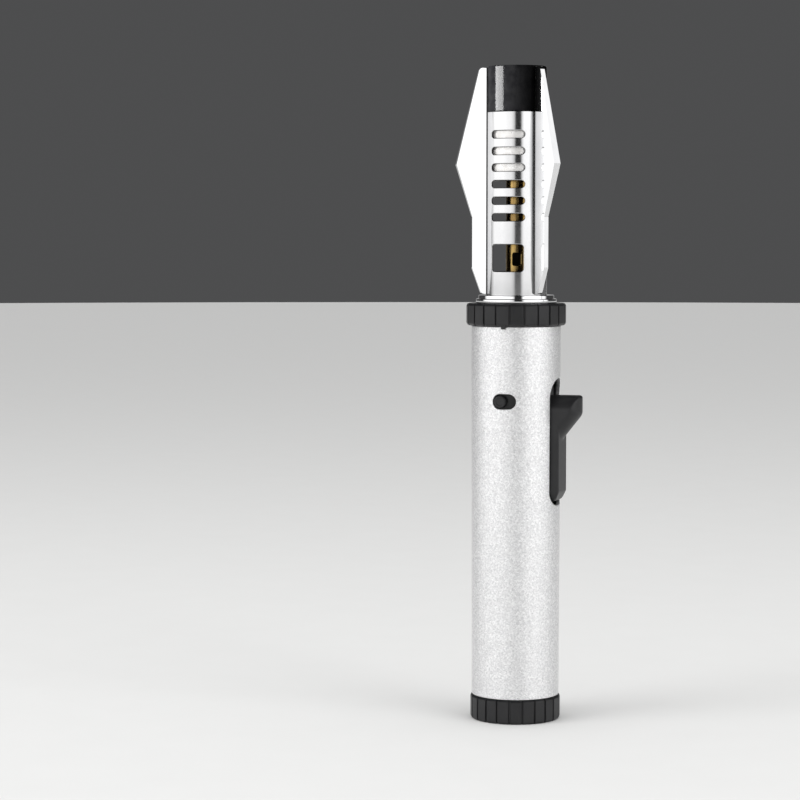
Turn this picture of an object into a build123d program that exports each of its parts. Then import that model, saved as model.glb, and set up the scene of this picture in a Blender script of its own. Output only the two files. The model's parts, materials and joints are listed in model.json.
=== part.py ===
from build123d import *
import os
from math import atan2, cos, degrees, pi, radians, sin

# Butane torch, in millimetres.
# The origin is the centre of the base's underside, +Z runs up to the mouth,
# -Y is the front with the lock slot, and +X is the side with the trigger.

# ---- driving dimensions ----

base_height = 6.0
barrel_top_z = 97.3
head_tube_top_z = 149.5
mouth_z = 160.6

barrel_top_radius = 11.0
barrel_bottom_radius = 10.75
barrel_bore_radius = 9.8
barrel_slack = 0.1            # between the barrel and what slides into it

flute_count = 22
flute_groove_width = 0.55
flute_groove_depth = 0.35
base_cap_radius = 11.15
flame_ring_radius = 12.3
flame_ring_bottom_z = 97.4
flame_ring_top_z = 102.8
ring_seat_radius = 9.3        # the collar that the flame ring turns on
detent_z = 100.1
running_clearance = 0.05

flange_bottom_z = 102.9
flange_step_z = 103.9
flange_top_z = 104.8
flange_radius = 9.9
flange_upper_radius = 9.3

head_tube_radius = 7.5
head_tube_bore_radius = 6.9
head_tube_bottom_z = 97.5
fin_count = 3
head_turn = -3.9             # the head sits a few degrees round from the barrel's front
fin_thickness = 2.0
first_fin_angle = 90.0        # the rear fin points to +Y
fin_foot_z = 104.9

slot_count = 6
slot_first_z = 143.9
slot_pitch = 4.02
slot_width = 8.5
slot_height = 1.8
window_bottom_z = 110.6
window_top_z = 117.2
window_width = 8.05
window_corner = 0.8

muzzle_radius = 7.35
muzzle_bore_radius = 6.3

burner_radius = 2.6
burner_bore_radius = 2.1
burner_bottom_z = 106.0
burner_top_z = 137.0
air_hole_bottom_z = 112.0
air_hole_top_z = 115.2
air_hole_width = 2.2
air_hole_angle = 18.5         # degrees from the front, towards +X

cup_radius = 6.75
cup_bore_radius = 6.25
cup_bottom_z = 133.9
cup_top_z = 147.4

lever_slot_bottom_z = 53.3
lever_slot_top_z = 84.5
lever_slot_width = 9.1
lever_slot_corner = 3.3
lever_width = 8.0
lever_face_x = 11.9
lever_bottom_z = 53.8
lever_top_z = 80.4
lever_corner = 2.9
pad_reach_x = 16.78           # the thumb pad on the lever
pad_bottom_z = 69.5
pad_full_z = 75.6
pad_crown_radius = 5.0
lever_inner_x = 6.2
lever_back_x = 8.8            # how deep the block behind the thumb pad is
trigger_arm_width = 6.0
trigger_pivot_x = 7.6
trigger_pivot_z = 56.5
trigger_pin_radius = 0.75

lock_slot_z = 79.1
lock_slot_length = 5.8
lock_slot_height = 3.65
lock_knob_radius = 1.5
lock_rest_angle = -5.6        # degrees from the front, towards -X

tank_bottom_z = 6.05
tank_top_z = 49.3
tank_radius = 9.6
tank_bore_radius = 8.4
tank_floor_z = 10.5
tank_seal_z = 47.0
lid_top_z = 50.9
valve_bottom_z = 41.3
valve_seat_z = 43.5
valve_chamber_top_z = 49.3

chassis_bottom_z = 51.1
chassis_floor_z = 51.9
chassis_top_z = 92.0
chassis_radius = 9.55
chassis_bore_radius = 8.3

chassis_end_thickness = 1.6
chassis_screw_x = -6.6
chassis_screw_heights = (56.6, 88.4)

refill_bore_radius = 3.4
refill_bore_depth = 2.4
base_recess_depth = 1.2
base_screw_places = (-6.4, 6.4)
base_screw_seat_z = 2.6
fill_chamber_top_z = 13.2
fill_body_top_z = 14.0
fill_flange_z = 11.4

fork_pivot_x = 2.6
fork_pivot_z = 57.0
fork_pin_radius = 0.6

fork_plate_bottom_z = 56.6
fork_plate_top_z = 57.5

piezo_centre_x = -4.65
piezo_length_x = 5.9
piezo_width_y = 5.9
piezo_bottom_z = 60.0
piezo_top_z = 78.0
plunger_slope = 0.395         # rise of the plunger's sloping top per mm towards -X
cam_nose_radius = 0.6
cam_nose_x = -2.33
cam_nose_z = 80.42

piezo_wall = 0.55
plunger_slack = 0.6
plunger_foot_z = 74.8
plunger_edge_z = 79.6
contact_x = -4.6
contact_y = 4.2

electrode_y = 4.6
insulator_hole_radius = 1.05
jet_plate_bottom_z = 97.6
jet_plate_top_z = 103.5
jet_bore_radius = 0.35
screen_bottom_z = 139.0
screen_top_z = 139.8


# ---- shared shapes ----

upright = (Align.CENTER, Align.CENTER, Align.MIN)


def rod(radius, bottom_z, top_z, x=0.0, y=0.0):
    return Pos(x, y, bottom_z) * Cylinder(radius, top_z - bottom_z, align=upright)


def pipe(radius, bore, bottom_z, top_z, x=0.0, y=0.0):
    return rod(radius, bottom_z, top_z, x, y) - rod(bore, bottom_z, top_z, x, y)


def block(x_range, y_range, z_range):
    size = [high - low for low, high in (x_range, y_range, z_range)]
    middle = [(high + low) / 2 for low, high in (x_range, y_range, z_range)]
    return Pos(*middle) * Box(*size)


def cross_rod(radius, x, z, y_from, y_to):
    """A rod along Y, for pins and bearings."""
    length = y_to - y_from
    return Pos(x, (y_from + y_to) / 2, z) * Rot(90, 0, 0) * Cylinder(radius, length)


def upright_slot(width, z_low, z_high, x_from, x_to):
    """A round-ended cutter that runs along X."""
    face = Plane.YZ * Pos(0, (z_low + z_high) / 2) * SlotOverall(z_high - z_low, width, rotation=90)
    return Pos(x_from, 0, 0) * extrude(face, x_to - x_from)


def lever_outline(width, z_low, z_high, corner, x_from, x_to):
    """A cutter along X with a round top and softened lower corners."""
    straight_top = z_high - width / 2
    height = straight_top - z_low
    face = Plane.YZ * Pos(0, z_low + height / 2) * RectangleRounded(width, height, corner)
    lower = Pos(x_from, 0, 0) * extrude(face, x_to - x_from)
    return lower + upright_slot(width, z_high - 2 * width, z_high, x_from, x_to)


def side_profile(points, width):
    """A flat plate from its outline in X and Z, centred on Y = 0."""
    outline = Polyline(*[(x, 0, z) for x, z in points], close=True)
    return extrude(make_face(outline), width / 2, dir=(0, 1, 0), both=True)


def coil(radius, wire_radius, bottom_z, top_z, turns):
    """A closed helical spring about Z."""
    height = top_z - bottom_z - 2 * wire_radius
    path = Helix(pitch=height / turns, height=height, radius=radius)
    section = Plane(origin=path @ 0, z_dir=path % 0) * Circle(wire_radius)
    return Pos(0, 0, bottom_z + wire_radius) * sweep(section, path, is_frenet=True)


def arc_piece(radius, bore, z_low, z_high, angle_from, angle_to):
    """Part of a pipe between two angles, measured from the front (-Y) towards +X."""
    reach = radius * 1.6
    middle = (angle_from + angle_to) / 2
    corners = [(0, 0)]
    for angle in (angle_from, middle, angle_to):
        corners.append((reach * sin(radians(angle)), -reach * cos(radians(angle))))
    wedge = extrude(make_face(Polyline(*corners, close=True)), z_high - z_low)
    return pipe(radius, bore, z_low, z_high) & (Pos(0, 0, z_low) * wedge)


def fluted_ring(radius, bottom_z, top_z, edge_chamfer):
    """A many-sided ring with a groove at each corner."""
    height = top_z - bottom_z
    body = Pos(0, 0, bottom_z) * extrude(RegularPolygon(radius, flute_count), height)
    rims = body.faces().filter_by(Axis.Z).edges()
    body = chamfer(rims, edge_chamfer)
    grooves = []
    for index in range(flute_count):
        turn = Rot(0, 0, index * 360 / flute_count)
        cutter = Pos(radius, 0, bottom_z + height / 2) * Box(2 * flute_groove_depth, flute_groove_width, height)
        grooves.append(turn * cutter)
    return body - grooves


# ---- outer casing ----

def make_barrel():
    height = barrel_top_z - base_height
    shell = Pos(0, 0, base_height) * Cone(barrel_bottom_radius, barrel_top_radius, height, align=upright)
    shell -= rod(barrel_bore_radius, base_height, barrel_top_z)
    shell -= lever_outline(lever_slot_width, lever_slot_bottom_z, lever_slot_top_z, lever_slot_corner, 4, 13)
    lock_face = Plane.XZ * Pos(0, lock_slot_z) * SlotOverall(lock_slot_length, lock_slot_height)
    shell -= Pos(0, -5, 0) * extrude(lock_face, 8)
    return shell


def make_base_cap():
    rim_bore = 8.6
    rim_chamfer = 0.5
    boss_wall = 1.3
    valve_bore = 3.05
    spigot_top_z = 8.4
    spigot_bore = 8.0
    screw_hole_radius = 1.15
    screw_head_pocket = 1.9
    cap = fluted_ring(base_cap_radius, 0, base_height, rim_chamfer)
    cap += pipe(barrel_bore_radius - barrel_slack, spigot_bore, base_height, spigot_top_z)
    cap -= rod(rim_bore, 0, base_recess_depth)
    cap += rod(refill_bore_radius + boss_wall, 0, base_recess_depth)
    cap -= rod(refill_bore_radius, 0, refill_bore_depth)
    cap -= rod(valve_bore, refill_bore_depth, base_height)
    for x in base_screw_places:
        cap -= rod(screw_hole_radius, base_recess_depth, base_height, x)
        cap -= rod(screw_head_pocket, base_recess_depth, base_screw_seat_z, x)
    return cap


def make_base_screws():
    shank_radius = 1.0
    shank_top_z = 9.4
    head_radius = 1.75
    head_height = 1.1
    slit_length = 2.6
    slit_width = 0.4
    slit_depth = 0.5
    head_bottom_z = base_screw_seat_z - head_height
    screws = []
    for x in base_screw_places:
        screw = rod(shank_radius, base_screw_seat_z, shank_top_z, x)
        screw += rod(head_radius, head_bottom_z, base_screw_seat_z, x)
        slit_x = (x - slit_length / 2, x + slit_length / 2)
        screw -= block(slit_x, (-slit_width / 2, slit_width / 2), (0, head_bottom_z + slit_depth))
        screws.append(screw)
    return Compound(screws)


# ---- gas tank and its valves ----

def make_gas_tank():
    neck_radius = 7.9
    shoulder_z = 8.6
    valve_bore = 3.0
    screw_hole_radius = 1.02
    screw_hole_top_z = 9.6
    tank = rod(neck_radius, tank_bottom_z, shoulder_z) + rod(tank_radius, shoulder_z, tank_top_z)
    tank -= rod(tank_bore_radius, tank_floor_z, tank_top_z)
    tank -= rod(valve_bore, tank_bottom_z, tank_floor_z)
    for x in base_screw_places:
        tank -= rod(screw_hole_radius, tank_bottom_z, screw_hole_top_z, x)
    return tank


def make_tank_lid():
    plug_bottom_z = lid_top_z - 6.1
    plug_radius = tank_bore_radius - 0.1
    groove_floor_radius = 7.3
    groove_half_height = 0.7
    valve_bore = 3.0
    lid = rod(tank_radius, tank_top_z, lid_top_z) + rod(plug_radius, plug_bottom_z, tank_top_z)
    groove_z = (tank_seal_z - groove_half_height, tank_seal_z + groove_half_height)
    lid -= pipe(tank_bore_radius, groove_floor_radius, *groove_z)
    lid -= rod(valve_bore, plug_bottom_z, lid_top_z)
    return lid


def make_tank_seal():
    ring_radius = 7.85
    cord_radius = 0.5
    return Pos(0, 0, tank_seal_z) * Torus(ring_radius, cord_radius)


def make_fill_valve_body():
    body_radius = 2.95
    flange_radius = 4.4
    flange_height = 1.0
    stem_bore = 1.3
    chamber_radius = 2.1
    chamber_bottom_z = 8.0
    outlet_radius = 0.6
    body = rod(body_radius, base_screw_seat_z, fill_body_top_z)
    body += rod(flange_radius, fill_flange_z, fill_flange_z + flange_height)
    body -= rod(stem_bore, base_screw_seat_z, chamber_bottom_z)
    body -= rod(chamber_radius, chamber_bottom_z, fill_chamber_top_z)
    body -= rod(outlet_radius, fill_chamber_top_z, fill_body_top_z)
    return body


def make_fill_valve_seal():
    ring_radius = 3.7
    cord_radius = 0.42
    return Pos(0, 0, fill_flange_z - 0.45) * Torus(ring_radius, cord_radius)


def make_fill_valve_stem():
    stem_radius = 1.25
    collar_radius = 1.85
    feed_radius = 0.55
    nozzle_z = 2.5
    stem = rod(stem_radius, nozzle_z, 8.6) + rod(collar_radius, 8.1, 9.0)
    stem -= rod(feed_radius, nozzle_z, 7.6)
    return stem


def make_fill_valve_spring():
    coil_radius = 1.55
    wire_radius = 0.22
    return coil(coil_radius, wire_radius, 9.05, fill_chamber_top_z - 0.05, 4)


def make_gas_valve_body():
    body_radius = 2.95
    hexagon_radius = 4.2
    hexagon_height = 1.6
    filter_pocket_radius = 1.95
    filter_pocket_top_z = valve_bottom_z + 1.4
    inlet_radius = 0.5
    chamber_radius = 2.1
    stem_bore = 0.85
    top_z = lid_top_z + hexagon_height
    body = rod(body_radius, valve_bottom_z, lid_top_z)
    body += Pos(0, 0, lid_top_z) * extrude(RegularPolygon(hexagon_radius, 6), hexagon_height)
    body -= rod(filter_pocket_radius, valve_bottom_z, filter_pocket_top_z)
    body -= rod(inlet_radius, filter_pocket_top_z, valve_seat_z)
    body -= rod(chamber_radius, valve_seat_z, valve_chamber_top_z)
    body -= rod(stem_bore, valve_chamber_top_z, top_z)
    return body


def make_valve_filter():
    filter_radius = 1.85
    return rod(filter_radius, valve_bottom_z + 0.1, valve_bottom_z + 1.35)


def make_valve_seal():
    seal_radius = 1.5
    return rod(seal_radius, valve_seat_z + 0.1, valve_seat_z + 1.1)


def make_gas_valve_stem():
    piston_radius = 1.75
    shaft_radius = 0.8
    collar_radius = 1.3
    shaft_top_z = 63.0
    fork_collar = (57.8, 58.5)
    piston_top_z = valve_seat_z + 2.0
    stem = rod(piston_radius, valve_seat_z + 1.15, piston_top_z)
    stem += rod(shaft_radius, piston_top_z, shaft_top_z)
    stem += rod(collar_radius, *fork_collar)
    return stem


def make_valve_stem_spring():
    coil_radius = 1.5
    wire_radius = 0.2
    return coil(coil_radius, wire_radius, valve_seat_z + 2.05, valve_chamber_top_z - 0.05, 4)


def make_gas_tube():
    tube_radius = 1.5
    tube_bore = 0.9
    return pipe(tube_radius, tube_bore, 60.0, 96.4)


# ---- inner chassis ----

def chassis_blank():
    """Both halves of the carrier as one piece, before they are split at Y = 0."""
    overlap = 0.2
    shelf_bottom_z = 58.8
    top_boss_bottom_z = 86.4
    end_plate_bottom_z = chassis_top_z - chassis_end_thickness
    inside = rod(chassis_bore_radius + 2 * overlap, chassis_bottom_z, chassis_top_z)
    outside = rod(chassis_radius, chassis_bottom_z, chassis_top_z)
    shell = pipe(chassis_radius, chassis_bore_radius, chassis_bottom_z, chassis_top_z)
    shell += rod(chassis_bore_radius + overlap, chassis_bottom_z, chassis_floor_z)
    shell += rod(chassis_bore_radius + overlap, end_plate_bottom_z, chassis_top_z)
    piezo_shelf = block((-8.6, -1.8), (-4.0, 4.0), (shelf_bottom_z, piezo_bottom_z))
    screw_boss = block((-8.6, -5.0), (-5.0, 5.0), (chassis_floor_z, shelf_bottom_z))
    top_boss = block((-8.6, -5.0), (-5.0, 5.0), (top_boss_bottom_z, end_plate_bottom_z))
    shell += (piezo_shelf + screw_boss + top_boss) & inside
    for side in (-1, 1):
        fork_ear_y = sorted((side * 2.6, side * 8.6))
        shell += block((1.2, 4.0), fork_ear_y, (chassis_floor_z, 58.6)) & inside
        trigger_ear_y = sorted((side * 4.4, side * 6.6))
        shell += block((5.4, 9.6), trigger_ear_y, (chassis_floor_z, 58.9)) & outside
    return shell


def make_chassis():
    """The front and rear halves, with the lever's opening and every hole through them."""
    lever_opening_width = 8.8
    lever_opening_top_z = 86.0
    valve_well_radius = 4.5
    valve_well_top_z = 53.0
    gas_tube_hole = 1.7
    wire_hole = 0.9
    shutter_travel = 34           # degrees each way from the front
    end_plate_bottom_z = chassis_top_z - chassis_end_thickness
    body = chassis_blank()
    body -= upright_slot(lever_opening_width, chassis_floor_z, lever_opening_top_z, 4.0, 12.0)
    body -= rod(valve_well_radius, chassis_bottom_z, valve_well_top_z)
    body -= rod(gas_tube_hole, end_plate_bottom_z, chassis_top_z)
    body -= rod(wire_hole, end_plate_bottom_z, chassis_top_z, 0, electrode_y)
    body -= cross_rod(trigger_pin_radius, trigger_pivot_x, trigger_pivot_z, -5.3, 5.3)
    body -= cross_rod(fork_pin_radius, fork_pivot_x, fork_pivot_z, -4.6, 4.6)
    body -= arc_piece(chassis_radius, chassis_bore_radius, 76.4, 81.8, -shutter_travel, shutter_travel)
    for z in chassis_screw_heights:
        body -= cross_rod(0.82, chassis_screw_x, z, -4.2, 4.6)
        body -= cross_rod(1.6, chassis_screw_x, z, 4.2, 9.0)
    front = body & block((-12, 12), (-12, 0), (50, 95))
    rear = body & block((-12, 12), (0, 12), (50, 95))
    return front, rear


def make_chassis_screws():
    shank_radius = 0.8
    head_radius = 1.5
    slit_half_length = 1.1
    slit_half_width = 0.18
    screws = []
    for z in chassis_screw_heights:
        screw = cross_rod(shank_radius, chassis_screw_x, z, -4.0, 4.3)
        screw += cross_rod(head_radius, chassis_screw_x, z, 4.25, 5.2)
        slit_x = (chassis_screw_x - slit_half_length, chassis_screw_x + slit_half_length)
        screw -= block(slit_x, (4.8, 5.3), (z - slit_half_width, z + slit_half_width))
        screws.append(screw)
    return Compound(screws)


# ---- trigger, fork and spark unit ----

def make_thumb_pad():
    """The pad at the top of the lever: a slope up to a flat, crowned across its width."""
    top_soft = 0.6
    outline = [
        (lever_face_x - 2, pad_bottom_z),
        (lever_face_x, pad_bottom_z),
        (pad_reach_x, pad_full_z),
        (pad_reach_x, lever_top_z - top_soft),
        (pad_reach_x - top_soft, lever_top_z),
        (lever_face_x - 2, lever_top_z),
    ]
    lean = degrees(atan2(pad_reach_x - lever_face_x, pad_full_z - pad_bottom_z))
    upright_crown = rod(pad_crown_radius, pad_bottom_z - 10, lever_top_z + 10, pad_reach_x - pad_crown_radius)
    leaning_crown = Pos(lever_face_x, 0, pad_bottom_z) * Rot(0, lean, 0) * Pos(-pad_crown_radius, 0, 0)
    leaning_crown = leaning_crown * Cylinder(pad_crown_radius, 60)
    return side_profile(outline, lever_width) & upright_crown & leaning_crown


def make_trigger():
    outline = [
        (lever_inner_x, 54.4),
        (8.6, lever_bottom_z),
        (10.4, 54.1),
        (11.5, 55.2),
        (lever_face_x, 56.8),
        (lever_face_x, lever_top_z),
        (lever_inner_x, lever_top_z),
    ]
    lever = side_profile(outline, lever_width) + make_thumb_pad()
    lever &= lever_outline(lever_width, lever_bottom_z, lever_top_z, lever_corner, 0, 20)
    lever += block((lever_inner_x, lever_back_x), (-3.2, 3.2), (75.0, 82.4))
    arm_half = trigger_arm_width / 2
    arm_gap_half = 1.8
    arm_bottom = cam_nose_z - cam_nose_radius
    arm_height = 2.2
    arm = block((cam_nose_x, lever_inner_x + 0.5), (-arm_half, arm_half), (arm_bottom, arm_bottom + arm_height))
    arm += cross_rod(cam_nose_radius, cam_nose_x, cam_nose_z, -arm_half, arm_half)
    arm -= block((-4, lever_inner_x - 1.2), (-arm_gap_half, arm_gap_half), (arm_bottom - 1, arm_bottom + 4))
    foot = block((4.0, lever_inner_x + 0.5), (-1.5, 1.5), (57.75, 59.4))
    lever += arm + foot
    spring_room = block((6.0, 9.2), (-1.7, 1.7), (54.9, 58.1))
    lever -= spring_room
    pin_hole_radius = trigger_pin_radius + running_clearance
    lever -= cross_rod(pin_hole_radius, trigger_pivot_x, trigger_pivot_z, -4.5, 4.5)
    return lever


def make_trigger_pin():
    return cross_rod(trigger_pin_radius, trigger_pivot_x, trigger_pivot_z, -5.2, 5.2)


def make_trigger_spring():
    coil_radius = 1.05
    wire_radius = 0.2
    half_width = 1.4
    turns = coil(coil_radius, wire_radius, -half_width, half_width, 4)
    return Pos(trigger_pivot_x, 0, trigger_pivot_z) * Rot(90, 0, 0) * turns


def make_valve_fork():
    half_width = 2.2
    boss_radius = 1.2
    prong_gap_half = 1.0
    fork = block((-0.9, 5.2), (-half_width, half_width), (fork_plate_bottom_z, fork_plate_top_z))
    fork += cross_rod(boss_radius, fork_pivot_x, fork_pivot_z, -half_width, half_width)
    fork -= block((-1.0, 1.1), (-prong_gap_half, prong_gap_half), (55, 59))
    fork -= cross_rod(fork_pin_radius + running_clearance, fork_pivot_x, fork_pivot_z, -2.3, 2.3)
    return fork


def make_fork_pin():
    return cross_rod(fork_pin_radius, fork_pivot_x, fork_pivot_z, -4.5, 4.5)


def piezo_block(x_shrink, y_shrink, z_range):
    half_x = piezo_length_x / 2 - x_shrink
    half_y = piezo_width_y / 2 - y_shrink
    x_range = (piezo_centre_x - half_x, piezo_centre_x + half_x)
    return block(x_range, (-half_y, half_y), z_range)


def make_piezo_body():
    """The spark unit's housing, open at the top for its plunger."""
    pocket_floor_z = 72.0
    housing = piezo_block(0, 0, (piezo_bottom_z, piezo_top_z))
    return housing - piezo_block(piezo_wall, piezo_wall, (pocket_floor_z, piezo_top_z))


def make_piezo_plunger():
    edge_x = piezo_centre_x + piezo_length_x / 2 - plunger_slack
    far_x = piezo_centre_x - piezo_length_x / 2 + plunger_slack
    far_z = plunger_edge_z + plunger_slope * (edge_x - far_x)
    outline = [(far_x, plunger_foot_z), (edge_x, plunger_foot_z), (edge_x, plunger_edge_z), (far_x, far_z)]
    return side_profile(outline, piezo_width_y - 2 * plunger_slack)


def make_piezo_terminal():
    """A contact plate on the housing, with the ferrule that the wire is crimped in."""
    plate = block((-5.6, -3.6), (2.95, 3.35), (60.3, 66.0))
    return plate + pipe(0.95, 0.62, 61.5, 64.0, contact_x, contact_y)


def make_electrode_wire():
    cover_radius = 0.6
    bend_radius = 20
    route = FilletPolyline(
        (contact_x, contact_y, 61.6),
        (contact_x, contact_y, 72),
        (0, electrode_y, 86),
        (0, electrode_y, 97.4),
        radius=bend_radius,
    )
    section = Plane(origin=route @ 0, z_dir=route % 0) * Circle(cover_radius)
    return sweep(section, route)


# ---- lock ----

def make_lock_knob():
    foot_y = -9.5
    knob_length = 1.6
    face_chamfer = 0.25
    knob = Pos(0, foot_y, lock_slot_z) * Rot(90, 0, 0) * Cylinder(lock_knob_radius, knob_length, align=upright)
    knob = chamfer(knob.faces().sort_by(Axis.Y)[0].edges(), face_chamfer)
    return Rot(0, 0, lock_rest_angle) * knob


def make_lock_shutter():
    """The curved plate behind the barrel's slot, with the tongue that reaches in to the arms."""
    half_angle = 20
    shutter = arc_piece(9.45, 8.45, 76.7, 81.5, lock_rest_angle - half_angle, lock_rest_angle + half_angle)
    tongue = block((-0.9, 0.9), (-8.7, -6.6), (78.2, 80.0))
    return shutter + Rot(0, 0, lock_rest_angle) * tongue


def make_lock_spring():
    return arc_piece(8.25, 8.0, 82.0, 84.6, -20, 20)


# ---- flame ring and its seat ----

def make_ring_carrier():
    tube_clearance = 0.05
    ball_hole_radius = 0.8
    carrier = rod(barrel_bore_radius - barrel_slack, chassis_top_z, barrel_top_z)
    carrier += rod(ring_seat_radius, barrel_top_z, flange_bottom_z)
    carrier -= rod(head_tube_radius + tube_clearance, chassis_top_z, flange_bottom_z)
    carrier -= cross_rod(ball_hole_radius, 0, detent_z, 7.65, 10.0)
    return carrier


def make_flame_ring():
    rim_chamfer = 0.5
    notch_radius = 0.8
    notch_step = 720 / flute_count
    ring = fluted_ring(flame_ring_radius, flame_ring_bottom_z, flame_ring_top_z, rim_chamfer)
    ring -= rod(ring_seat_radius + running_clearance, flame_ring_bottom_z, flame_ring_top_z)
    for index in range(flute_count // 2):
        notch = Pos(0, ring_seat_radius + 0.1, detent_z) * Sphere(notch_radius)
        ring -= Rot(0, 0, index * notch_step) * notch
    pointer_tab = block((-0.55, 0.55), (-12.0, -11.35), (96.7, flame_ring_bottom_z + 0.5))
    return ring + pointer_tab


def make_detent_ball():
    return Pos(0, 8.6, detent_z) * Sphere(0.7)


def make_detent_spring():
    return Pos(0, 7.82, detent_z) * Rot(90, 0, 0) * coil(0.5, 0.08, -0.1, 0.1, 1)


# ---- head ----

def make_head_flange():
    tube_clearance = 0.05
    flange = rod(flange_radius, flange_bottom_z, flange_step_z)
    flange += rod(flange_upper_radius, flange_step_z, flange_top_z)
    return flange - rod(head_tube_radius + tube_clearance, flange_bottom_z, flange_top_z)


def make_fin():
    """One fin, pointing along +X."""
    root = 7.2
    outline = [
        (root, fin_foot_z),
        (8.9, fin_foot_z + 0.4),
        (11.1, 111.5),
        (11.1, 124.0),
        (15.05, 136.7),
        (9.4, 160.0),
        (8.8, mouth_z),
        (head_tube_radius - 0.05, mouth_z),
        (head_tube_radius - 0.05, head_tube_top_z),
        (root, head_tube_top_z),
    ]
    return side_profile(outline, fin_thickness)


def sector_cutter():
    """The openings of one third of the head tube, cut towards -Y."""
    cutters = []
    for index in range(slot_count):
        z = slot_first_z - index * slot_pitch
        cutters.append(Plane.XZ * Pos(0, z) * SlotOverall(slot_width, slot_height))
    height = window_top_z - window_bottom_z
    window = Plane.XZ * Pos(0, window_bottom_z + height / 2) * RectangleRounded(window_width, height, window_corner)
    cutters.append(window)
    return [Pos(0, -4, 0) * extrude(face, 6) for face in cutters]


def make_head_casting():
    head = pipe(head_tube_radius, head_tube_bore_radius, head_tube_bottom_z, head_tube_top_z)
    fin = make_fin()
    for index in range(fin_count):
        head += Rot(0, 0, first_fin_angle + head_turn + index * 360 / fin_count) * fin
    for index in range(fin_count):
        for cutter in sector_cutter():
            head -= Rot(0, 0, head_turn + index * 360 / fin_count) * cutter
    return head


def make_muzzle_ring():
    seat_z = head_tube_top_z + 0.05
    spigot_radius = head_tube_bore_radius - 0.05
    ring = pipe(muzzle_radius, muzzle_bore_radius, seat_z, mouth_z)
    return ring + pipe(spigot_radius, muzzle_bore_radius, cup_top_z + 0.1, seat_z)


def make_jet_holder():
    inlet_radius = 0.85
    inlet_bottom_z = 92.6
    air_hole_radius = 1.1
    holder = rod(head_tube_bore_radius - 0.05, jet_plate_bottom_z, jet_plate_top_z)
    holder += rod(inlet_radius, inlet_bottom_z, jet_plate_bottom_z)
    holder -= rod(jet_bore_radius, inlet_bottom_z, jet_plate_top_z)
    # one hole carries the insulator, the others let air in
    for angle in (-150, -90, -30, 30, 90, 150):
        x = electrode_y * cos(radians(angle))
        y = electrode_y * sin(radians(angle))
        holder -= rod(air_hole_radius, jet_plate_bottom_z, jet_plate_top_z, x, y)
    return holder


def make_gas_jet():
    hexagon_radius = 2.0
    hexagon_top_z = 105.5
    nozzle_radius = 1.1
    nozzle_top_z = 109.0
    hexagon = extrude(RegularPolygon(hexagon_radius, 6), hexagon_top_z - jet_plate_top_z)
    jet = Pos(0, 0, jet_plate_top_z) * hexagon
    jet += rod(nozzle_radius, hexagon_top_z, nozzle_top_z)
    return jet - rod(jet_bore_radius, jet_plate_top_z, nozzle_top_z)


def make_burner_tube():
    corner = 0.5
    tube = pipe(burner_radius, burner_bore_radius, burner_bottom_z, burner_top_z)
    height = air_hole_top_z - air_hole_bottom_z
    face = Plane.XZ * Pos(0, air_hole_bottom_z + height / 2) * RectangleRounded(air_hole_width, height, corner)
    cutter = extrude(face, burner_radius + 1)
    for index in range(fin_count):
        tube -= Rot(0, 0, index * 360 / fin_count + air_hole_angle) * cutter
    return tube


def make_flame_cup():
    floor_top_z = cup_bottom_z + 0.6
    cup = pipe(cup_radius, cup_bore_radius, cup_bottom_z, cup_top_z)
    cup += rod(cup_radius, cup_bottom_z, floor_top_z)
    cup -= rod(burner_radius + 0.05, cup_bottom_z, floor_top_z)
    cup -= rod(insulator_hole_radius, cup_bottom_z, floor_top_z, 0, electrode_y)
    return cup


def make_flame_screen():
    hole_radius = 0.45
    rings = ((6, 1.7), (12, 3.3), (16, 5.0))      # holes in each ring and its radius
    screen = rod(cup_bore_radius - 0.05, screen_bottom_z, screen_top_z)
    for count, radius in rings:
        for index in range(count):
            angle = 2 * pi * (index + 0.5) / count
            x = radius * cos(angle)
            y = radius * sin(angle)
            beside_insulator = abs(x) > 1.5 or abs(y - electrode_y) > 1.6
            if beside_insulator:
                screen -= rod(hole_radius, screen_bottom_z, screen_top_z, x, y)
    return screen - rod(insulator_hole_radius, screen_bottom_z, screen_top_z, 0, electrode_y)


def make_electrode_insulator():
    return pipe(1.0, 0.42, 97.7, 140.6, 0, electrode_y)


def make_electrode_tip():
    return rod(0.38, 97.8, 143.0, 0, electrode_y)


# ---- build every piece and write it ----

chassis_front, chassis_rear = make_chassis()

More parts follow.
